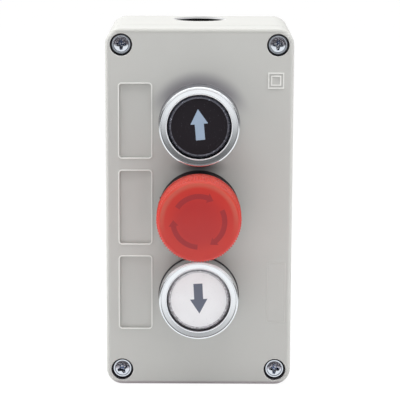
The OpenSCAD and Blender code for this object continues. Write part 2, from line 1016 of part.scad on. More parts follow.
module down_fixed_contacts() { open_fixed_contacts(DOWN_ROW); }
module down_terminal_screws() { terminal_screws(DOWN_ROW); }

// Stop button

module stop_collar() {
    color([0.14, 0.14, 0.15])
        on_row(STOP_ROW)
            difference() {
                union() {
                    disc(bezel_d / 2, seal_t, collar_h - collar_chamfer);
                    translate([0, 0, collar_h - collar_chamfer])
                        cylinder(r1 = bezel_d / 2, r2 = bezel_d / 2 - collar_chamfer,
                            h = collar_chamfer);
                }
                disc(flange_r + thread_gap, seal_t - over, flange_top);
                disc(collar_bore_r, seal_t, collar_h + over);
            }
}

module stop_panel_seal() {
    panel_seal(STOP_ROW);
    color([0.1, 0.1, 0.11])
        on_row(STOP_ROW)
            for (turn = ear_turns)
                rotate([0, 0, turn])
                    translate([bezel_d / 2 + ear_out, 0, 0])
                        disc(ear_r, 0, seal_t);
}

module stop_barrel() {
    color([0.13, 0.13, 0.14])
        on_row(STOP_ROW)
            difference() {
                barrel_form();
                disc(latch_r + thread_gap, latch_z - thread_gap, latch_z + latch_t + thread_gap);
            }
}

module stop_latch_ring() {
    color([0.75, 0.76, 0.78])
        on_row(STOP_ROW)
            difference() {
                ring(latch_r, stem_r + guide_gap, latch_z, latch_z + latch_t);
                translate([latch_r, 0, 0])
                    block(2 * latch_r, latch_mouth_w, latch_z - over, latch_z + latch_t + over);
            }
}

module stop_lock_nut() { lock_nut(STOP_ROW); }
module stop_carrier() { carrier(STOP_ROW); }

// Star outline whose points are the crests of the grip ribs and the roots between them
module rib_outline() {
    step = 360 / rib_count;
    polygon([
        for (i = [0 : rib_count - 1])
            each [polar(rib_crest_r, i * step), polar(rib_root_r, (i + 0.5) * step)]
    ]);
}

// Half section of the red head's outside, from the axis to a given side radius
module head_section(side_r) {
    shoulder_z = head_top - crown_rise - head_shoulder_r;
    dome_half = head_core_r - head_shoulder_r;
    dome_r = (dome_half * dome_half + crown_rise * crown_rise) / (2 * crown_rise);
    intersection() {
        translate([0, head_rear])
            square([side_r, head_top - head_rear]);
        union() {
            translate([0, head_rear])
                square([side_r, shoulder_z - head_rear]);
            translate([head_core_r - head_shoulder_r, shoulder_z])
                circle(head_shoulder_r);
            intersection() {
                translate([0, shoulder_z - over])
                    square([dome_half, head_top]);
                translate([0, head_top - dome_r])
                    circle(dome_r, $fn = dome_fn);
            }
        }
    }
}

// The outside of the head: a plain core, the lip round its rear and the ribs on its side
module head_solid() {
    rib_top = head_top - crown_rise - head_shoulder_r;
    rotate_extrude()
        head_section(head_core_r);
    disc(head_r, head_rear, head_rear + rear_lip_t);
    intersection() {
        translate([0, 0, head_rear + rear_lip_t / 2])
            linear_extrude(rib_top - head_rear)
                rib_outline();
        union() {
            disc(head_r, head_rear, rib_top - rib_slope);
            translate([0, 0, rib_top - rib_slope])
                cylinder(r1 = head_r, r2 = rib_root_r, h = rib_slope);
        }
    }
}

function polar(r, turn) = [r * cos(turn), r * sin(turn)];

// One curved arrow, clockwise, with its tip at a given turn
module curved_arrow(tip_turn, low, high) {
    middle = band_in + band_w / 2;
    base_turn = tip_turn + band_head_turn;
    rotate([0, 0, base_turn - band_lap_turn])
        rotate_extrude(angle = band_turn - band_head_turn + band_lap_turn)
            translate([band_in, low])
                square([band_w, high - low]);
    translate([0, 0, low])
        linear_extrude(high - low)
            polygon([
                polar(middle - band_head_w / 2, base_turn),
                polar(middle + band_head_w / 2, base_turn),
                polar(middle, tip_turn),
            ]);
}

module curved_arrows(low, high) {
    for (i = [0 : band_count - 1])
        curved_arrow(band_tip_turn - i * 360 / band_count, low, high);
}

module stop_head() {
    color([0.78, 0.26, 0.24])
        on_row(STOP_ROW)
            difference() {
                union() {
                    head_solid();
                    disc(hub_r, hub_z, head_top - head_wall);
                }
                ring(head_core_r - head_wall, hub_r, head_rear - over,
                    head_top - crown_rise - head_wall);
                disc(stem_r + guide_gap, hub_z - over, shaft_top + stop_gap);
                disc(snap_r + guide_gap, snap_z - guide_gap, snap_z + snap_t + guide_gap);
                curved_arrows(head_top - crown_rise - band_t, head_top + over);
            }
}

module stop_head_arrows() {
    color([0.64, 0.22, 0.24])
        on_row(STOP_ROW)
            intersection() {
                curved_arrows(head_top - crown_rise - band_t, head_top + over);
                rotate_extrude()
                    head_section(head_core_r);
            }
}

module stop_shaft() {
    color([0.7, 0.71, 0.73])
        on_row(STOP_ROW)
            difference() {
                union() {
                    disc(stem_r, -stem_end, shaft_top);
                    disc(shaft_flange_r, shaft_flange_z, shaft_flange_z + shaft_flange_t);
                    disc(snap_r, snap_z, snap_z + snap_t);
                }
                clip_groove();
                ring(stem_r + over, stem_r - latch_groove_depth,
                    latch_z + travel, latch_z + travel + latch_t);
            }
}

module stop_shaft_clip() { clip(STOP_ROW); }
module stop_return_spring() { return_spring(STOP_ROW, shaft_flange_z); }
module stop_contact_housing() { contact_housing(STOP_ROW); }
module stop_contact_plunger() { closed_contact_plunger(STOP_ROW); }
module stop_contact_bridge() { contact_bridge(STOP_ROW, closed_bridge_top); }
module stop_contact_spring() {
    contact_spring(STOP_ROW, closed_pin_end + plunger_flange_t, closed_bridge_top - bridge_t);
}
module stop_fixed_contacts() { closed_fixed_contacts(STOP_ROW); }
module stop_terminal_screws() { terminal_screws(STOP_ROW); }

base_shell();
front_cover();
cover_gasket();
cover_screws();
up_bezel();
up_panel_seal();
up_barrel();
up_lock_nut();
up_carrier();
up_cap();
up_symbol_disc();
up_arrow();
up_stem();
up_stem_clip();
up_return_spring();
up_contact_housing();
up_contact_plunger();
up_contact_bridge();
up_contact_spring();
up_fixed_contacts();
up_terminal_screws();
down_bezel();
down_panel_seal();
down_barrel();
down_lock_nut();
down_carrier();
down_cap();
down_symbol_disc();
down_arrow();
down_stem();
down_stem_clip();
down_return_spring();
down_contact_housing();
down_contact_plunger();
down_contact_bridge();
down_contact_spring();
down_fixed_contacts();
down_terminal_screws();
stop_collar();
stop_panel_seal();
stop_barrel();
stop_latch_ring();
stop_lock_nut();
stop_carrier();
stop_head();
stop_head_arrows();
stop_shaft();
stop_shaft_clip();
stop_return_spring();
stop_contact_housing();
stop_contact_plunger();
stop_contact_bridge();
stop_contact_spring();
stop_fixed_contacts();
stop_terminal_screws();
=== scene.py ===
"""Studio view of a wall-mounted control station: an up and a down button and a red stop button."""

import math

import bmesh
import bpy
from mathutils import Matrix, Vector


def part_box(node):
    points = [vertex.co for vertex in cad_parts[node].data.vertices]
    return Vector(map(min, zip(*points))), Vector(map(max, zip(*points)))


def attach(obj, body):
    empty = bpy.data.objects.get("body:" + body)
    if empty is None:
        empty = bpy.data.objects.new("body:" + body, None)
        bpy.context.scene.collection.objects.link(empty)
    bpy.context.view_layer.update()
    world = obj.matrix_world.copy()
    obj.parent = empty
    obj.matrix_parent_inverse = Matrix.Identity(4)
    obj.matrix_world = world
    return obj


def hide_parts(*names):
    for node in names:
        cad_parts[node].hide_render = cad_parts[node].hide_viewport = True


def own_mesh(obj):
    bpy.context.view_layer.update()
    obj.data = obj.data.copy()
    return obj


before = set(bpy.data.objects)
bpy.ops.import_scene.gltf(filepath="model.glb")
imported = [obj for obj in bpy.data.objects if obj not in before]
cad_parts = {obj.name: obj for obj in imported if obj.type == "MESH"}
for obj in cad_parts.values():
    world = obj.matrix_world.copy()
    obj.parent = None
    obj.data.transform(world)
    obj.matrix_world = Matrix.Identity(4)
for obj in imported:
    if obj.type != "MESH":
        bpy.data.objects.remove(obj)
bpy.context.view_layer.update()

# Camera: the photograph's view, through a long lens from about 0.7 m in front of the box,
# a little above its middle and looking down at it.
MM = 0.001
LENS_MM = 161.2
SENSOR_MM = 36.0
CAMERA_PLACE = Vector((0.37, -720.5, 131.1)) * MM
CAMERA_PITCH = math.radians(90 - 10.84)
CAMERA_ROLL = math.radians(0.22)

camera = bpy.data.objects.new("camera", bpy.data.cameras.new("camera"))
bpy.context.scene.collection.objects.link(camera)
camera.data.lens = LENS_MM
camera.data.sensor_width = SENSOR_MM
camera.matrix_world = (
    Matrix.Translation(CAMERA_PLACE)
    @ Matrix.Rotation(CAMERA_PITCH, 4, "X")
    @ Matrix.Rotation(CAMERA_ROLL, 4, "Z")
)
bpy.context.scene.camera = camera
bpy.context.scene.view_settings.view_transform = "Standard"


# Studio: a white room whose light comes from above, with soft lamps over the box, at both its
# sides and behind its left. The pale floor throws some of the light back up.
def srgb(red, green, blue):
    """A colour given as 0 to 255 on screen, as the linear values that Blender works with."""
    linear = []
    for value in (red, green, blue):
        share = value / 255
        linear.append(share / 12.92 if share <= 0.04045 else ((share + 0.055) / 1.055) ** 2.4)
    return (*linear, 1.0)


class Wire:
    """A socket of a material or of the world, so that shader maths is written as plain sums."""

    def __init__(self, finish, socket):
        self.finish = finish
        self.socket = socket

    def maths(self, operation, *values):
        return self.finish.node("ShaderNodeMath", {"operation": operation}, dict(enumerate(values)))

    def __add__(self, other):
        return self.maths("ADD", self, other)

    def __sub__(self, other):
        return self.maths("SUBTRACT", self, other)

    def __rsub__(self, other):
        return self.maths("SUBTRACT", other, self)

    def __mul__(self, other):
        return self.maths("MULTIPLY", self, other)

    def __truediv__(self, other):
        return self.maths("DIVIDE", self, other)

    def __abs__(self):
        return self.maths("ABSOLUTE", self)

    def __pow__(self, other):
        return self.maths("POWER", self, other)

    def __gt__(self, other):
        return self.maths("GREATER_THAN", self, other)

    def __lt__(self, other):
        return self.maths("LESS_THAN", self, other)

    __radd__ = __add__
    __rmul__ = __mul__

    def soft_step(self, low, high):
        """0 below low and 1 above high, with a smooth rise between them."""
        return self.finish.node(
            "ShaderNodeMapRange",
            {"interpolation_type": "SMOOTHSTEP"},
            {"Value": self, "From Min": low, "From Max": high},
        )

    def soft_edge(self, ends_mm):
        """The same rise between two places in millimetres."""
        low, high = ends_mm
        return self.soft_step(low * MM, high * MM)


class Finish:
    """A node tree being built: node() adds any node and hands back one of its outputs."""

    def __init__(self, tree):
        self.tree = tree

    def node(self, kind, settings=(), inputs=(), out=0):
        made = self.tree.nodes.new(kind)
        for name, value in dict(settings).items():
            setattr(made, name, value)
        for name, value in dict(inputs).items():
            if isinstance(value, Wire):
                self.tree.links.new(value.socket, made.inputs[name])
            else:
                made.inputs[name].default_value = value
        return Wire(self, made.outputs[out]) if made.outputs else None

    def mix(self, share, first, second):
        """A colour between two others, by the sockets that a mix of colours shows."""
        return self.node("ShaderNodeMix", {"data_type": "RGBA"}, {0: share, 6: first, 7: second}, 2)


# The room's light comes from above and grows with height. What metal and glass mirror is pale
# low down, dim above the skyline and pale again overhead. Heights run from -1 to 1.
ROOM_LIGHT = 0.76
LIGHT_RISE = (0, 0.5)
ROOM_SHINE_LOW = 0.96
ROOM_SHINE_HIGH = 0.112
SKYLINE = (-0.27, -0.02)
ROOM_SHINE_TOP = 0.72
OVERHEAD = (0.6, 0.85)
WHITE = (1, 1, 1, 1)

world = bpy.data.worlds.new("white_room")
world.use_nodes = True
bpy.context.scene.world = world
room = Finish(world.node_tree)
world.node_tree.nodes.clear()
ray = room.node("ShaderNodeLightPath")
to_camera = Wire(room, ray.socket.node.outputs["Is Camera Ray"])
to_gloss = Wire(room, ray.socket.node.outputs["Is Glossy Ray"])
to_glass = Wire(room, ray.socket.node.outputs["Is Transmission Ray"])
direction = room.node("ShaderNodeTexCoord", out="Generated")
height = room.node("ShaderNodeSeparateXYZ", (), {0: direction}, "Z")
shine = ROOM_SHINE_LOW + (ROOM_SHINE_HIGH - ROOM_SHINE_LOW) * height.soft_step(*SKYLINE)
shine = shine + ROOM_SHINE_TOP * height.soft_step(*OVERHEAD)
others = 1 - to_camera - to_gloss - to_glass
light = others * ROOM_LIGHT * height.soft_step(*LIGHT_RISE)
strength = to_camera + (to_gloss + to_glass) * shine + light
background = room.node("ShaderNodeBackground", (), {"Color": WHITE, "Strength": strength})
room.node("ShaderNodeOutputWorld", (), {"Surface": background})


def lamp(name, place, target, width, height, watts):
    """A soft rectangular lamp that shines at a point and is neither seen nor mirrored."""
    data = bpy.data.lights.new(name, "AREA")
    data.shape = "RECTANGLE"
    data.size = width * MM
    data.size_y = height * MM
    data.energy = watts
    made = bpy.data.objects.new(name, data)
    bpy.context.scene.collection.objects.link(made)
    made.location = Vector(place) * MM
    made.rotation_euler = (Vector(target) * MM - made.location).to_track_quat("-Z", "Y").to_euler()
    made.visible_camera = False
    made.visible_glossy = False


# Each lamp's place, the point it shines at, its width and height in millimetres, and its watts.
lamp("top_wide_lamp", (0, -60, 480), (0, -56, 30), 500, 400, 2.2)
lamp("top_lamp", (0, -200, 500), (0, -40, 40), 400, 200, 0.3)
lamp("right_lamp", (500, -160, 60), (0, -56, 0), 300, 300, 1.1)
lamp("left_lamp", (-500, -160, 60), (0, -56, 0), 300, 300, 0.55)
lamp("back_left_lamp", (-420, 40, 150), (-30, -56, 0), 200, 300, 1.15)

# The camera sees a white floor that keeps the object's shadow. Other rays meet plain pale paper.
FLOOR_SIZE = 9.0
FLOOR_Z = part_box("base_shell")[0].z
FLOOR_GLOW = 0.93
FLOOR_SHADE = srgb(90, 90, 90)
PAPER = srgb(216, 216, 216)
PAPER_LIFT = 0.04
sheet = bmesh.new()
bmesh.ops.create_grid(sheet, x_segments=1, y_segments=1, size=FLOOR_SIZE / 2)
bmesh.ops.translate(sheet, vec=(0, 0, FLOOR_Z), verts=sheet.verts)
floor_mesh = bpy.data.meshes.new("floor")
sheet.to_mesh(floor_mesh)
sheet.free()
floor = bpy.data.objects.new("floor", floor_mesh)
bpy.context.scene.collection.objects.link(floor)
floor_material = bpy.data.materials.new("white_floor")
floor_material.use_nodes = True
floor_material.node_tree.nodes.clear()
paper = Finish(floor_material.node_tree)
ray = paper.node("ShaderNodeLightPath")
seen = Wire(paper, ray.socket.node.outputs["Is Camera Ray"])
plain = paper.node("ShaderNodeBsdfDiffuse", (), {"Color": PAPER})
lift = paper.node("ShaderNodeEmission", (), {"Strength": PAPER_LIFT})
felt = paper.node("ShaderNodeAddShader", (), {0: plain, 1: lift})
shaded = paper.node("ShaderNodeBsdfDiffuse", (), {"Color": FLOOR_SHADE})
glow = paper.node("ShaderNodeEmission", (), {"Strength": FLOOR_GLOW})
white = paper.node("ShaderNodeAddShader", (), {0: shaded, 1: glow})
shown = paper.node("ShaderNodeMixShader", (), {0: seen, 1: felt, 2: white})
paper.node("ShaderNodeOutputMaterial", (), {"Surface": shown})
floor_mesh.materials.append(floor_material)
floor.visible_glossy = False


# Enclosure: the base with its cable entry and the cover, both injection-moulded in light grey
# plastic with a fine spark-eroded texture. Four screws hold the cover on the base.
class Surface(Finish):
    """A material with one Principled shader; its patterns lie on the object's own coordinates."""

    def __init__(self, name, colour, roughness, **constants):
        self.material = bpy.data.materials.new(name)
        self.material.use_nodes = True
        super().__init__(self.material.node_tree)
        self.shader = self.tree.nodes["Principled BSDF"]
        self.place = self.node("ShaderNodeTexCoord", out="Object")
        self.set("Base Color", colour)
        self.set("Roughness", roughness)
        for socket, value in constants.items():
            self.set(socket.replace("_", " ").title().replace("Ior", "IOR"), value)

    def set(self, socket, value):
        if isinstance(value, Wire):
            self.tree.links.new(value.socket, self.shader.inputs[socket])
        else:
            self.shader.inputs[socket].default_value = value

    def source(self, socket):
        """What feeds a socket so far, to be worked on further."""
        return Wire(self, self.shader.inputs[socket].links[0].from_socket)

    def noise(self, size_mm, detail, place=None):
        """Cloudy noise from 0 to 1 with features of a given size."""
        return self.node(
            "ShaderNodeTexNoise",
            (),
            {"Vector": place or self.place, "Scale": 1 / (size_mm * MM), "Detail": detail},
        )

    def rings(self, radius, size_mm):
        """Noise that varies only with the distance from an axis, as the marks of turning do."""
        return self.node(
            "ShaderNodeTexNoise",
            {"noise_dimensions": "1D"},
            {"W": radius, "Scale": 1 / (size_mm * MM)},
        )

    def sheen(self, roughness, spread, pattern):
        """Makes the roughness vary about a value, with a pattern from 0 to 1."""
        self.set("Roughness", roughness - spread / 2 + spread * pattern)

    def bump(self, height, depth_mm, strength=1.0):
        """Raises the surface by a height from 0 to 1."""
        self.set("Normal", self.node(
            "ShaderNodeBump",
            (),
            {"Height": height, "Distance": depth_mm * MM, "Strength": strength},
        ))

    def parts(self, centre):
        """The three coordinates of the place, measured from a point in millimetres."""
        moved = self.node(
            "ShaderNodeVectorMath",
            {"operation": "SUBTRACT"},
            {0: self.place, 1: tuple(c * MM for c in centre)},
        )
        split = self.node("ShaderNodeSeparateXYZ", (), {0: moved})
        return [Wire(self, split.socket.node.outputs[axis]) for axis in "XYZ"]


def dress(name, surface):
    """Gives a CAD node its finish."""
    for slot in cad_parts[name].material_slots:
        slot.material = surface.material


def tone(colour, share):
    """A colour times a share, which makes it darker or lighter."""
    return (*(min(1.0, value * share) for value in colour[:3]), 1.0)


def moulded(name, colour, roughness, grain_mm=0.28, depth_mm=0.012, mottle=0.035):
    """Moulded plastic: eroded grain, slightly cloudy colour and uneven sheen."""
    plastic = Surface(name, colour, roughness)
    clouds = plastic.noise(size_mm=14, detail=3)
    specks = plastic.noise(size_mm=0.5, detail=2)
    grain = plastic.noise(grain_mm, detail=3)
    darker, lighter = tone(colour, 1 - mottle), tone(colour, 1 + mottle)
    plastic.set("Base Color", plastic.mix(clouds * 0.7 + specks * 0.3, darker, lighter))
    plastic.sheen(roughness, spread=0.12, pattern=grain)
    plastic.bump(grain, depth_mm)
    return plastic


def axis_of(node):
    """The middle of a CAD node's box, in millimetres."""
    first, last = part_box(node)
    return tuple((first + last) / 2 / MM)


def distance(first, second):
    """How far a place is from the line where two coordinates are zero."""
    return (first * first + second * second) ** 0.5


def between(value, first_mm, last_mm):
    """1 where a coordinate lies between two values, and 0 elsewhere."""
    return (value > first_mm * MM) * (value < last_mm * MM)


box_grey = moulded("box_grey", srgb(196, 196, 193), 0.52)
# The cover's mottled grey, into which painted highlights and painted shade are mixed below.
grey_and_painted_shade = box_grey.source("Base Color")

# The raised beads and the scored lines of the cover's face are painted paler, a painted
# highlight. Its top edge and its underside are painted a little darker, a painted shade.
# Depths are measured inwards from the face.
FACE_Y = -56.0
FACE_HALF_W = 33.2
FACE_HALF_H = 66.0
BEAD_TOP = -0.06
SCORE_DEPTHS = (0.05, 0.16)
SCORE_SHARE = 0.5
TOP_EDGE_HEIGHTS = (66.6, 67.4)
TOP_EDGE_DEPTHS = (0.6, 1.6)
UNDERSIDE_HEIGHTS = (-67.6, -66.8)
x, y, z = box_grey.parts((0, FACE_Y, 0))
on_face = (x * x < (FACE_HALF_W * MM) ** 2) * (z * z < (FACE_HALF_H * MM) ** 2)
raised = y < BEAD_TOP * MM
scored = between(y, *SCORE_DEPTHS) * on_face
grey_and_painted_shade = box_grey.mix(raised + scored * SCORE_SHARE, grey_and_painted_shade, srgb(236, 236, 233))
top_edge = z.soft_edge(TOP_EDGE_HEIGHTS) * (1 - y.soft_edge(TOP_EDGE_DEPTHS))
grey_and_painted_shade = box_grey.mix(top_edge, grey_and_painted_shade, srgb(178, 178, 174))
grey_and_painted_shade = box_grey.mix(1 - z.soft_edge(UNDERSIDE_HEIGHTS), grey_and_painted_shade, srgb(172, 164, 168))

# The seats of the four screws are painted dark, a painted shade in the counterbores.
SCREW_HEAD_D = 7.2
SEAT_R = 4.3
SEAT_DEPTHS = (0.3, 6)
screws_low, screws_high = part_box("cover_screws")
screw_x = screws_high.x / MM - SCREW_HEAD_D / 2
screw_z = screws_high.z / MM - SCREW_HEAD_D / 2
in_seat = distance(abs(x) - screw_x * MM, abs(z) - screw_z * MM) < SEAT_R * MM
grey_and_painted_shade = box_grey.mix(in_seat * between(y, *SEAT_DEPTHS), grey_and_painted_shade, srgb(84, 82, 88))

# Painted shadow darkens the face above the upper button, and between it and the stop button.
FACE_DEPTH = 1.0
PAINTED_SHADOW_RADII = (15.5, 21)
PAINTED_SHADOW_HEIGHTS = (2, 12)
GAP_DROP = 16.5
GAP_HALF_W = 12.247
GAP_HALF_H = 4.243
GAP_SHARE = 0.9
on_cover = y < FACE_DEPTH * MM
x, y, z = box_grey.parts(axis_of("up_bezel"))
# A painted shadow round the top of the upper bezel.
bloom = (1 - distance(x, z).soft_edge(PAINTED_SHADOW_RADII)) * z.soft_edge(PAINTED_SHADOW_HEIGHTS) * on_cover
grey_and_painted_shade = box_grey.mix(bloom, grey_and_painted_shade, srgb(152, 150, 154))
# A painted shadow in the gap between the upper bezel and the stop button.
from_gap = distance(x / (GAP_HALF_W * MM), (z + GAP_DROP * MM) / (GAP_HALF_H * MM))
in_gap = (1 - from_gap.soft_step(0, 1)) * on_cover
grey_and_painted_shade = box_grey.mix(in_gap * GAP_SHARE, grey_and_painted_shade, srgb(62, 58, 66))

# The cable entry is painted dark inside, a painted shade, and the lip round it in the top wall is
# painted near white, a painted highlight.
ENTRY_Y = -14.0
ENTRY_R = 12.0
ENTRY_INNER_Z = 40.0
LIP_R = 10.4
LIP_Z = 67.65
x, y, z = box_grey.parts((0, ENTRY_Y, 0))
from_entry = distance(x, y)
in_entry = (from_entry < ENTRY_R * MM) * between(z, ENTRY_INNER_Z, LIP_Z)
grey_and_painted_shade = box_grey.mix(in_entry, grey_and_painted_shade, srgb(30, 30, 32))
lip = (from_entry < LIP_R * MM) * (z > LIP_Z * MM)
box_grey.set("Base Color", box_grey.mix(lip, grey_and_painted_shade, srgb(250, 250, 250)))
dress("base_shell", box_grey)
dress("front_cover", box_grey)


# Cover gasket: a cord of black rubber, moulded as one closed ring. It lies in the cover's
# groove and is pressed by the edge of the base.
CAD_SEAM = 0.0005 * MM
FLAT_FOLD = math.radians(1)
SHARP_FOLD = math.radians(50)
ROUND_STEPS = 3


def finish_piece(shape, name, surface, body, *nodes, smooth_degrees=35):
    """Turns a bmesh into a piece that rides on a body and stands for CAD nodes."""
    mesh = bpy.data.meshes.new(name)
    shape.to_mesh(mesh)
    shape.free()
    mesh.materials.append(surface.material)
    piece = bpy.data.objects.new(name, mesh)
    bpy.context.scene.collection.objects.link(piece)
    mesh.shade_smooth()
    mesh.set_sharp_from_angle(angle=math.radians(smooth_degrees))
    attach(piece, body)
    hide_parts(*nodes)
    return piece


def soften(node, name, surface, radius_mm):
    """Stands for a CAD node with a copy whose sharp edges are rounded, as moulded rubber's are."""
    shape = bmesh.new()
    shape.from_mesh(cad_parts[node].data)
    bmesh.ops.remove_doubles(shape, verts=shape.verts, dist=CAD_SEAM)
    bmesh.ops.dissolve_limit(
        shape, angle_limit=FLAT_FOLD, verts=shape.verts, edges=shape.edges,
    )
    sharp = [e for e in shape.edges if e.is_manifold and e.calc_face_angle(0) > SHARP_FOLD]
    bmesh.ops.bevel(
        shape, geom=sharp, offset=radius_mm * MM, offset_type="OFFSET", segments=ROUND_STEPS,
        profile=0.5, material=-1, affect="EDGES", clamp_overlap=True,
    )
    finish_piece(shape, name, surface, "enclosure", node)


def rubber(name, deep, pale):
    """Matt rubber with a fine bloom and a few dust specks."""
    cord = Surface(name, deep, 0.62)
    bloom = cord.noise(size_mm=1.6, detail=4)
    dust = cord.noise(size_mm=0.35, detail=1).soft_step(0.7, 0.76)
    clean = cord.mix(bloom, deep, pale)
    cord.set("Base Color", cord.mix(dust * 0.5, clean, srgb(150, 150, 150)))
    cord.sheen(0.65, spread=0.2, pattern=bloom)
    cord.bump(cord.noise(size_mm=0.2, detail=2), depth_mm=0.01)
    return cord


seal_rubber = rubber("seal_rubber", deep=srgb(52, 51, 54), pale=srgb(74, 73, 76))
soften("cover_gasket", "cover_gasket_cord", seal_rubber, radius_mm=0.3)


# Panel seals: a flat rubber washer under each bezel keeps water out of the hole in the cover.
# Its rim shows as a dark line round the bezel; the upper washer is a lighter copy of the same
# rubber, a painted light that makes its line faint.
ROWS = ("up", "stop", "down")
pale_painted_rubber = rubber("pale_painted_rubber", deep=srgb(118, 117, 121), pale=srgb(140, 139, 142))
for row in ROWS:
    washer = pale_painted_rubber if row == "up" else seal_rubber
    soften(f"{row}_panel_seal", f"{row}_seal_washer", washer, radius_mm=0.1)


# Cover screws: four zinc-plated steel screws with a flange and a low dome. The cross recess
# is punched into the head, so its arms taper outwards and narrow as they go down.
SCREW_SHANK_D = 4.0
SCREW_FLANGE_T = 1.7
SCREW_DOME_D = 5.9
SCREW_DOME_T = 0.6
SCREW_DOME_STEPS = 8
SCREW_LENGTH = 27.0
SCREW_EDGE = 0.25
SCREW_STEPS = 64
CROSS_REACH = 2.35
CROSS_HALF_W = 0.52
CROSS_CORNER = 0.85
CROSS_DEPTH = 1.8
CROSS_FLOOR_SHARE = 0.45
PUNCH_CLEAR = 0.45
SPIN_SEAM = 0.001 * MM


def turned(points, axis, steps):
    """Spins an outline in millimetres about an axis, and closes its seam and its poles."""
    shape = bmesh.new()
    rim = [shape.verts.new([value * MM for value in point]) for point in points]
    edges = [shape.edges.new(pair) for pair in zip(rim, rim[1:])]
    bmesh.ops.spin(
        shape, geom=rim + edges, cent=(0, 0, 0), axis=axis, angle=math.tau, steps=steps,
        use_merge=True,
    )
    bmesh.ops.remove_doubles(shape, verts=shape.verts, dist=SPIN_SEAM)
    bmesh.ops.recalc_face_normals(shape, faces=shape.faces)
    return shape


def screw_blank():
    """One screw along +Z, with its flange's underside at zero."""
    head = SCREW_HEAD_D / 2
    shank = SCREW_SHANK_D / 2
    dome = SCREW_DOME_D / 2
    outline = [
        (0, -SCREW_LENGTH),
        (shank - SCREW_EDGE, -SCREW_LENGTH),
        (shank, -SCREW_LENGTH + SCREW_EDGE),
        (shank, 0),
        (head - SCREW_EDGE, 0),
        (head, SCREW_EDGE),
        (head, SCREW_FLANGE_T - SCREW_EDGE),
        (head - SCREW_EDGE, SCREW_FLANGE_T),
        (dome + SCREW_EDGE, SCREW_FLANGE_T),
    ]
    for step in range(SCREW_DOME_STEPS + 1):
        turn = math.radians(90 * step / SCREW_DOME_STEPS)
        outline.append((dome * math.cos(turn), SCREW_FLANGE_T + SCREW_DOME_T * math.sin(turn)))
    return turned([(x, 0, z) for x, z in outline], (0, 0, 1), SCREW_STEPS)


def cross_punch():
    """The punch that makes the recess: a cross with blunt arms that narrows downwards."""
    shape = bmesh.new()
    top = SCREW_FLANGE_T + SCREW_DOME_T + PUNCH_CLEAR
    arm = [(CROSS_REACH, -CROSS_HALF_W), (CROSS_REACH, CROSS_HALF_W), (CROSS_CORNER, CROSS_CORNER)]
    outline = [
        Matrix.Rotation(quarter * math.pi / 2, 3, "Z") @ Vector((*corner, top))
        for quarter in range(4) for corner in arm
    ]
    shape.faces.new([shape.verts.new(corner * MM) for corner in outline])
    grown = bmesh.ops.extrude_face_region(shape, geom=list(shape.faces))
    floor_verts = [item for item in grown["geom"] if isinstance(item, bmesh.types.BMVert)]
    bmesh.ops.translate(
        shape, vec=(0, 0, -(CROSS_DEPTH + PUNCH_CLEAR) * MM), verts=floor_verts,
    )
    bmesh.ops.scale(
        shape, vec=(CROSS_FLOOR_SHARE, CROSS_FLOOR_SHARE, 1), verts=floor_verts,
    )
    bmesh.ops.recalc_face_normals(shape, faces=shape.faces)
    return shape


def scratch_object(shape, name):
    """An object made of a bmesh for a while, because the cut works on objects."""
    mesh = bpy.data.meshes.new(name)
    shape.to_mesh(mesh)
    shape.free()
    made = bpy.data.objects.new(name, mesh)
    bpy.context.scene.collection.objects.link(made)
    return made


def punched_screw():
    """The mesh of one screw with its recess cut."""
    blank = scratch_object(screw_blank(), "blank")
    punch = scratch_object(cross_punch(), "punch")
    cut = blank.modifiers.new("recess", "BOOLEAN")
    cut.operation = "DIFFERENCE"
    cut.solver = "EXACT"
    cut.object = punch
    bpy.context.view_layer.update()
    shape = bmesh.new()
    shape.from_object(blank, bpy.context.evaluated_depsgraph_get())
    for used in (blank, punch):
        mesh = used.data
        bpy.data.objects.remove(used)
        bpy.data.meshes.remove(mesh)
    made = bpy.data.meshes.new("one_screw")
    shape.to_mesh(made)
    shape.free()
    return made


def steel(name, colour, roughness, cloud_mm=1.2, scratch=0.1):
    """Steel, bright or zinc-plated: cloudy colour and fine handling marks."""
    metal = Surface(name, colour, roughness, metallic=1.0)
    clouds = metal.noise(cloud_mm, detail=3)
    stretch = metal.node(
        "ShaderNodeMapping", (), {"Vector": metal.place, "Scale": (1, 0.15, 0.3)},
    )
    scratches = metal.noise(0.12, 2, stretch)
    metal.set("Base Color", metal.mix(clouds, tone(colour, 0.82), colour))
    metal.set("Roughness", roughness - scratch / 2 + scratch * scratches + 0.08 * clouds)
    metal.bump(scratches, depth_mm=0.004, strength=0.6)
    return metal


# Where each screw stands, and how far its recess is turned, in degrees.
SCREW_TURNS = {(-1, 1): 1, (1, 1): -2, (-1, -1): 24, (1, -1): -5}
screws_y = screws_low.y + (SCREW_FLANGE_T + SCREW_DOME_T) * MM
screws = bmesh.new()
one_screw = punched_screw()
for (side, end), turn in SCREW_TURNS.items():
    before = len(screws.verts)
    screws.from_mesh(one_screw)
    screws.verts.ensure_lookup_table()
    added = screws.verts[before:]
    for angle, axis in ((turn, "Z"), (90, "X")):
        matrix = Matrix.Rotation(math.radians(angle), 3, axis)
        bmesh.ops.rotate(screws, cent=(0, 0, 0), matrix=matrix, verts=added)
    corner = (side * screw_x * MM, screws_y, end * screw_z * MM)
    bmesh.ops.translate(screws, vec=corner, verts=added)
bpy.data.meshes.remove(one_screw)

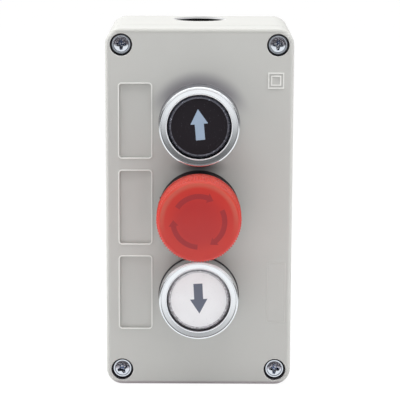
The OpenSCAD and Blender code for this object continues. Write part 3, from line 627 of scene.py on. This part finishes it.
# The recesses are painted dark, a painted shade, with a few painted glints; the upper half of
# each dome is painted greyer with a few pale streaks, a painted reflection; and handling has
# dulled the flanges of the two upper screws.
RECESS_R = 2.6
RECESS_TOP = 0.4
FLANGE_DULL = 0.35
PLAIN_SHARE = 0.7
screw_zinc = steel("screw_zinc", srgb(236, 243, 252), 0.1, scratch=0.06)
x, y, z = screw_zinc.parts((0, screws_low.y / MM, 0))
along = abs(z) - screw_z * MM
from_screw = distance(abs(x) - screw_x * MM, along)
punched = (from_screw < RECESS_R * MM) * (y > RECESS_TOP * MM)
flange = from_screw > SCREW_DOME_D / 2 * MM
upper = (along * z > 0) * (1 - flange) * (1 - punched)
# Painted glints and painted shade in the recesses; a painted reflection greys each upper dome.
glint = screw_zinc.noise(size_mm=0.6, detail=1).soft_step(0.53, 0.6)
painted_recess = screw_zinc.mix(glint, srgb(78, 92, 124), srgb(250, 252, 254))
plate = screw_zinc.mix(punched, screw_zinc.source("Base Color"), painted_recess)
screw_zinc.set("Base Color", screw_zinc.mix(upper, plate, srgb(196, 194, 206)))
even = screw_zinc.source("Roughness")
screw_zinc.set("Roughness", even + FLANGE_DULL * flange * (z > 0))
# Pale streaks painted on the upper half of each dome, a painted reflection.
painted_streak = screw_zinc.noise(size_mm=0.45, detail=0).soft_step(0.6, 0.66)
screw_zinc.set("Metallic", 1 - PLAIN_SHARE * (punched * glint + upper * painted_streak))
finish_piece(
    screws, "cross_head_screws", screw_zinc, "enclosure", "cover_screws", smooth_degrees=28,
)


# Bezels: a turned brass ring, satin chrome-plated, threaded on each pushbutton's barrel. The
# crown slopes gently in from a round rim, and a fine bead runs round the bore.
BEZEL_R = 15.0
BORE_R = 12.0
FOOT_EDGE = 0.2
RIM_R = 0.6
RIM_ARC = (0, 118)
RIM_STEPS = 14
CROWN_SLOPE = {"up_bezel": math.radians(5), "down_bezel": math.radians(4)}
CROWN_IN = 12.45
CROWN_OUT = 14.05
CROWN_DROP = 0.15
CROWN_SHARES = (0, 0.04, 0.3, 0.7, 0.96, 1)
BEAD_R = 0.2
BEAD_RISE = 0.05
BEAD_ARC = (60, 180)
BEAD_STEPS = 8
BEZEL_STEPS = 192


def arc(centre, radius, first, last, steps):
    """Points along an arc of a turned outline, between two angles in degrees."""
    turns = [math.radians(first + (last - first) * i / steps) for i in range(steps + 1)]
    return [(centre[0] + radius * math.cos(t), centre[1] + radius * math.sin(t)) for t in turns]


def turned_bezel(node):
    """The bezel's outline, spun about its axis: radius, and height from the face of its seal."""
    first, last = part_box(node)
    high = (last.y - first.y) / MM
    crown_top = high - CROWN_DROP
    crown_low = crown_top - (CROWN_OUT - CROWN_IN) * math.tan(CROWN_SLOPE[node])
    rim = (BEZEL_R - RIM_R, high - RIM_R)
    bead = (BORE_R + BEAD_R, crown_low + BEAD_RISE - BEAD_R)
    outline = [(BORE_R, 0), (BEZEL_R - FOOT_EDGE, 0), (BEZEL_R, FOOT_EDGE)]
    outline += arc(rim, RIM_R, *RIM_ARC, RIM_STEPS)
    for share in CROWN_SHARES:
        radius = CROWN_OUT + (CROWN_IN - CROWN_OUT) * share
        outline.append((radius, crown_top + (crown_low - crown_top) * share))
    outline += arc(bead, BEAD_R, *BEAD_ARC, BEAD_STEPS)
    outline.append((BORE_R, 0))
    shape = turned([(x, -z, 0) for x, z in outline], (0, 1, 0), BEZEL_STEPS)
    middle = (first + last) / 2
    bmesh.ops.translate(shape, vec=(middle.x, last.y, middle.z), verts=shape.verts)
    return shape


def band(value, rise_mm, fall_mm):
    """1 between two soft edges, each from one place to another, and 0 outside them."""
    return value.soft_edge(rise_mm) * (1 - value.soft_edge(fall_mm))


# The chrome's zones, by their distance from the axis: the fine cut between rim and crown,
# painted darker as a painted shade; the wall of the bore, a painted shade that is darker on the
# upper bezel; the bead round it, and the upper part of the rim, which is paler: both painted
# highlights.
CUT_RISE = (13.98, 14.06)
CUT_FALL = (14.1, 14.2)
BORE_WALL_R = 12.06
BEAD_OUT_R = 12.42
UPPER_RIM_RADII = (14.2, 14.94)
UPPER_RIM_HEIGHTS = (4, 12)
# The painted shade of each bezel's bore wall.
PAINTED_BORE_SHADES = {"up": srgb(64, 64, 70), "down": srgb(150, 150, 156)}


def turned_chrome(name, centre, painted_bore_shade):
    """Satin chrome: the marks of turning are rings too fine to see singly."""
    chrome = Surface(name, srgb(240, 242, 246), 0.12, metallic=1.0)
    x, _, z = chrome.parts(centre)
    radius = distance(x, z)
    rings = chrome.rings(radius, size_mm=0.16)
    haze = chrome.noise(size_mm=5, detail=3)
    smudge = chrome.noise(size_mm=1.1, detail=4)
    cut = band(radius, CUT_RISE, CUT_FALL)
    bore = radius < BORE_WALL_R * MM
    bead = between(radius, BORE_WALL_R, BEAD_OUT_R)
    upper_rim = between(radius, *UPPER_RIM_RADII) * z.soft_edge(UPPER_RIM_HEIGHTS)
    crown = chrome.mix(haze, srgb(242, 247, 253), srgb(250, 253, 255))
    crown = chrome.mix(cut, crown, srgb(186, 189, 196))
    chrome.set("Base Color", chrome.mix(bore, crown, painted_bore_shade))
    # Less metal on the upper rim and on the bead paints them pale, as painted highlights.
    chrome.set("Metallic", 1 - 0.75 * upper_rim - 0.6 * bead)
    dull = 0.3 * cut + 0.35 * (bore + bead + upper_rim)
    chrome.set("Roughness", 0.1 + 0.05 * rings + 0.04 * smudge + dull)
    chrome.bump(rings, depth_mm=0.0015, strength=0.4)
    return chrome


for row, painted_bore_shade in PAINTED_BORE_SHADES.items():
    node = f"{row}_bezel"
    chrome = turned_chrome(f"{node}_chrome", axis_of(node), painted_bore_shade)
    finish_piece(
        turned_bezel(node), f"{row}_turned_bezel", chrome, "enclosure", node, smooth_degrees=28,
    )


# Stop button's collar and the barrels: glass-filled black plastic with a dull, even grain. The
# lock nuts are the same plastic in grey, and hold each barrel in its hole from behind.
black_plastic = moulded("black_plastic", srgb(21, 20, 24), 0.5, depth_mm=0.008, mottle=0.12)
black_plastic.set("Specular IOR Level", 0.2)
nut_plastic = moulded("nut_plastic", srgb(122, 122, 120), 0.5, grain_mm=0.4, depth_mm=0.015)
dress("stop_collar", black_plastic)
for row in ROWS:
    dress(f"{row}_barrel", black_plastic)
    dress(f"{row}_lock_nut", nut_plastic)


# Carriers: zinc die castings that clamp on the barrels behind the cover and hold the contact
# blocks. The castings are left raw, with a frosted skin and slightly darker flow marks.
carrier_zinc = Surface("carrier_zinc", srgb(168, 170, 174), 0.42, metallic=1.0)
flow = carrier_zinc.noise(size_mm=6, detail=5)
frost = carrier_zinc.noise(size_mm=0.3, detail=3)
skin = carrier_zinc.mix(flow, srgb(148, 150, 155), srgb(182, 184, 188))
carrier_zinc.set("Base Color", skin)
carrier_zinc.sheen(0.46, spread=0.2, pattern=frost)
carrier_zinc.bump(frost * 0.6 + flow * 0.4, depth_mm=0.02)
for row in ROWS:
    dress(f"{row}_carrier", carrier_zinc)


# Pushbutton lenses: polished plastic caps, smoky on the upper button and clear on the lower
# one. Their bevelled rims show painted glints and painted reflections of the room in streaks,
# between the disc and the bezel.
LENS_ROUGHNESS = 0.12
LENS_LIP_RISE = (10.5, 10.56)
LENS_LIP_FALL = (10.62, 10.72)
LENS_PALE_HEIGHTS = (2, 10)
LENS_PALE_SHARE = 0.5
LENS_SQUEEZE = 4


def lens(name, centre, deep, pale, ring, glint):
    """A polished lens: deep and pale streaks round its rim and a few glints, all painted."""
    clear = Surface(name, deep, LENS_ROUGHNESS, coat_weight=0.6, coat_roughness=0.06)
    x, y, z = clear.parts(centre)
    radius = distance(x, z)
    rim_place = clear.node("ShaderNodeCombineXYZ", (), {"X": x, "Y": y * LENS_SQUEEZE, "Z": z})
    streaks = clear.noise(1.1, 4, rim_place)
    sparks = clear.noise(0.6, 1, rim_place).soft_step(0.66, 0.72)
    lines = clear.rings(radius, size_mm=0.3)
    lip = band(radius, LENS_LIP_RISE, LENS_LIP_FALL)
    # Deep and pale streaks, painted reflections, run round the rim.
    body = clear.mix((streaks * 0.6 + lines * 0.4).soft_step(0.4, 0.62), deep, pale)
    # Painted light: the lens is paler towards its top.
    body = clear.mix(z.soft_edge(LENS_PALE_HEIGHTS) * LENS_PALE_SHARE, body, pale)
    # A painted highlight: a pale ring at the disc's edge.
    body = clear.mix(lip * streaks.soft_step(0.25, 0.5), body, ring)
    # Painted glints.
    clear.set("Base Color", clear.mix(sparks, body, glint))
    clear.set("Roughness", LENS_ROUGHNESS + 0.12 * streaks)
    clear.bump(streaks * 0.5 + lines * 0.5, depth_mm=0.03, strength=0.7)
    return clear


dress("up_cap", lens(
    "smoky_lens", axis_of("up_cap"), deep=srgb(40, 38, 45), pale=srgb(104, 106, 119),
    ring=srgb(118, 120, 134), glint=srgb(196, 204, 222),
))
dress("down_cap", lens(
    "clear_lens", axis_of("down_cap"), deep=srgb(140, 136, 143), pale=srgb(232, 233, 238),
    ring=srgb(222, 224, 229), glint=srgb(250, 251, 253),
))


# Symbol discs and arrows: a thin plastic disc lies in the front of each lens, and its arrow is
# printed on it in one flat ink.
def printed(name, colour, roughness, fleck, fleck_share):
    """Screen-printed film: an even colour with a slight tooth and a few specks of dust."""
    film = Surface(name, colour, roughness, specular_ior_level=0.2)
    tooth = film.noise(size_mm=0.4, detail=2)
    cloud = film.noise(size_mm=5, detail=3)
    specks = film.noise(size_mm=0.4, detail=0).soft_step(0.74, 0.8)
    clean = film.mix(cloud, tone(colour, 0.93), colour)
    film.set("Base Color", film.mix(specks * fleck_share, clean, fleck))
    film.sheen(roughness, spread=0.1, pattern=tooth)
    film.bump(tooth, depth_mm=0.003, strength=0.5)
    return film


# Each node's material, its colour and roughness, and the colour and strength of its specks.
PRINTS = {
    "up_symbol_disc": ("black_disc", srgb(33, 29, 35), 0.45, srgb(110, 108, 116), 0.4),
    "down_symbol_disc": ("white_disc", srgb(250, 251, 254), 0.4, srgb(206, 208, 214), 0.5),
    "up_arrow": ("pale_blue_ink", srgb(162, 182, 204), 0.45, srgb(170, 178, 190), 0.4),
    "down_arrow": ("slate_ink", srgb(112, 118, 133), 0.45, srgb(150, 140, 130), 0.5),
}
for node, look in PRINTS.items():
    dress(node, printed(*look))


# Stems and contact plungers: ivory acetal, self-lubricating and slightly waxy. Each stem is
# held by a clip of spring steel behind the web of its barrel.
acetal = moulded(
    "ivory_acetal", srgb(224, 220, 206), 0.36, grain_mm=0.5, depth_mm=0.006, mottle=0.03,
)
spring_steel = steel("spring_steel", srgb(196, 197, 201), 0.24, cloud_mm=2.5)
for node in ("up_stem", "down_stem"):
    dress(node, acetal)
    dress(f"{node}_clip", spring_steel)
for row in ROWS:
    dress(f"{row}_contact_plunger", acetal)
dress("stop_shaft_clip", spring_steel)
dress("stop_latch_ring", spring_steel)


# Springs: cold-wound wire with closed ends. The return springs lie between a barrel's web and
# its stem's flange; the contact springs press on the bridges.
END_TURNS = 0.9
END_LEAD = 1.06
COIL_RINGS = 28
COIL_SIDES = 12


def coil(name, node, wire_d, turns, body):
    """A helix of round wire, in the box of its CAD node, along the frame's Y axis."""
    first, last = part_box(node)
    middle = (first + last) / 2
    wire = wire_d / 2 * MM
    mean = (last.x - first.x) / 2 - wire
    length = last.y - first.y - 2 * wire
    lead = wire_d * END_LEAD * MM
    open_turns = turns - 2 * END_TURNS
    rise = (length - 2 * END_TURNS * lead) / open_turns
    shape = bmesh.new()
    made = bmesh.ops.create_circle(shape, segments=COIL_SIDES, radius=wire)
    bmesh.ops.translate(shape, vec=(mean, first.y + wire, 0), verts=made["verts"])
    ring = list(shape.edges)
    bmesh.ops.holes_fill(shape, edges=ring)
    for share, climb in ((END_TURNS, lead), (open_turns, rise), (END_TURNS, lead)):
        steps = max(1, round(share * COIL_RINGS))
        spun = bmesh.ops.spin(
            shape, geom=ring, cent=(0, 0, 0), axis=(0, 1, 0), dvec=(0, climb * share / steps, 0),
            angle=share * math.tau, steps=steps,
        )
        ring = [item for item in spun["geom_last"] if isinstance(item, bmesh.types.BMEdge)]
    bmesh.ops.holes_fill(shape, edges=ring)
    bmesh.ops.remove_doubles(shape, verts=shape.verts, dist=SPIN_SEAM)
    bmesh.ops.recalc_face_normals(shape, faces=shape.faces)
    bmesh.ops.translate(shape, vec=(middle.x, 0, middle.z), verts=shape.verts)
    return finish_piece(shape, name, spring_steel, body, node, smooth_degrees=50)


button_body = {"up": "up_button", "down": "down_button", "stop": "stop_plunger"}
for row, body in button_body.items():
    node = f"{row}_return_spring"
    piece = coil(f"{row}_return_coil", node, wire_d=0.8, turns=7, body="enclosure")
    first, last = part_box(node)
    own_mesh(piece)
    coil(f"{row}_contact_coil", f"{row}_contact_spring", wire_d=0.5, turns=3, body=body)


# Stop button's head: a red moulding that snaps over the end of its shaft. It is satin on the
# front and shoulder, where the ribs of its side stand out to give a grip.
HEAD_RED = srgb(200, 52, 44)
red = Surface(
    "red_moulding", HEAD_RED, 0.36, specular_ior_level=0.5,
    subsurface_weight=0.35, subsurface_scale=0.7 * MM,
)
x, y, z = red.parts(axis_of("stop_head"))
from_axis = distance(x, z)
clouds = red.noise(size_mm=7, detail=3)
grain = red.noise(size_mm=0.22, detail=2)

# The front is painted deeper in colour at its middle, a painted shade. Its shoulder and the
# ribs of the upper side are painted paler, a painted highlight, and the grooves between the
# ribs are painted brighter, mostly lower down, a painted glow.
FACE_RADII = (6, 12.5)
SHOULDER_RISE = (12.2, 13.7)
SHOULDER_FALL = (14.2, 14.8)
SHOULDER_HEIGHTS = (-8, 5)
RIB_RADII = (14.4, 14.9)
RIB_HEIGHTS = (-2, 10)
RIB_SHARE = 0.9
GROOVE_R = 14.9
GROOVE_FALL = (15.2, 15.6)
GROOVE_FRONT = -4.2
GROOVE_HEIGHTS = (0, 12)
GROOVE_LOW_SHARE = 0.7
GROOVE_HIGH_SHARE = 0.1
# Painted shade: deeper colour at the middle of the front.
skin = red.mix(from_axis.soft_edge(FACE_RADII), srgb(184, 44, 44), HEAD_RED)
skin = red.mix(clouds * 0.25, skin, srgb(206, 66, 56))
# Painted highlights on the shoulder and on the ribs of the upper side.
shoulder = band(from_axis, SHOULDER_RISE, SHOULDER_FALL) * z.soft_edge(SHOULDER_HEIGHTS)
skin = red.mix(shoulder, skin, srgb(202, 93, 79))
ribs = from_axis.soft_edge(RIB_RADII) * z.soft_edge(RIB_HEIGHTS)
skin = red.mix(ribs * RIB_SHARE, skin, srgb(182, 68, 58))
# A painted glow in the grooves, brighter lower down.
groove = (from_axis > GROOVE_R * MM) * (1 - from_axis.soft_edge(GROOVE_FALL))
from_top = GROOVE_LOW_SHARE + (GROOVE_HIGH_SHARE - GROOVE_LOW_SHARE) * z.soft_edge(GROOVE_HEIGHTS)
groove = groove * (y > GROOVE_FRONT * MM) * from_top
red.set("Base Color", red.mix(groove, skin, srgb(244, 92, 78)))
red.sheen(0.36, spread=0.12, pattern=grain)
red.bump(grain, depth_mm=0.008)

# The drawing's own mesh, with its seams merged so that it can be shaded smooth.
HEAD_SEAM = 0.002 * MM
knob = bmesh.new()
knob.from_mesh(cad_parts["stop_head"].data)
bmesh.ops.remove_doubles(knob, verts=knob.verts, dist=HEAD_SEAM)
bmesh.ops.dissolve_degenerate(knob, dist=HEAD_SEAM, edges=knob.edges)
bmesh.ops.recalc_face_normals(knob, faces=knob.faces)
head = finish_piece(knob, "red_head", red, "stop_knob", "stop_head", smooth_degrees=30)

# The facets of the domed front take the normals of the sphere that they stand for.
DOME_HALF_W = 13.8
DOME_RISE = 0.9
DOME_R = (DOME_HALF_W ** 2 + DOME_RISE ** 2) / (2 * DOME_RISE)
DOME_FACING = -0.98
DOME_DEPTH = 1.0
first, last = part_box("stop_head")
dome_centre = Vector(((first.x + last.x) / 2, first.y + DOME_R * MM, (first.z + last.z) / 2))
slants = [corner.vector.copy() for corner in head.data.corner_normals]
for facet in head.data.polygons:
    if facet.normal.y < DOME_FACING and facet.center.y < first.y + DOME_DEPTH * MM:
        for corner in facet.loop_indices:
            spot = head.data.vertices[head.data.loops[corner].vertex_index].co
            slants[corner] = (spot - dome_centre).normalized()
head.data.normals_split_custom_set(slants)
dress("stop_head_arrows", moulded(
    "red_inlay", srgb(162, 42, 46), 0.5, grain_mm=0.3, depth_mm=0.008, mottle=0.03,
))


# Stop button's shaft: turned steel with its tool marks left on, ground where it slides in its
# barrel. The head snaps over the bead at its front end.
dress("stop_shaft", steel("turned_steel", srgb(182, 184, 188), 0.26, cloud_mm=3))


# Contact blocks: dark glass-filled housings with brass contacts and zinc-plated terminal
# screws. A plunger moves a sprung brass bridge against or away from the two fixed contacts.
block_plastic = moulded(
    "block_plastic", srgb(52, 53, 56), 0.48, grain_mm=0.35, depth_mm=0.014, mottle=0.1,
)
terminal_zinc = steel("blue_zinc", srgb(226, 231, 240), 0.1, scratch=0.06)
contact_brass = Surface("contact_brass", srgb(208, 176, 112), 0.28, metallic=1.0)
tarnish = contact_brass.noise(size_mm=2.2, detail=5)
rolled = contact_brass.node(
    "ShaderNodeMapping", (), {"Vector": contact_brass.place, "Scale": (0.08, 1, 1)},
)
marks = contact_brass.noise(0.15, 2, rolled)
contact_brass.set("Base Color", contact_brass.mix(
    tarnish.soft_step(0.4, 0.7), srgb(214, 184, 122), srgb(176, 138, 82),
))
contact_brass.set("Roughness", 0.2 + 0.14 * marks + 0.1 * tarnish)
contact_brass.bump(marks, depth_mm=0.004, strength=0.6)
for row in ROWS:
    dress(f"{row}_contact_housing", block_plastic)
    dress(f"{row}_contact_bridge", contact_brass)
    dress(f"{row}_fixed_contacts", contact_brass)
    dress(f"{row}_terminal_screws", terminal_zinc)
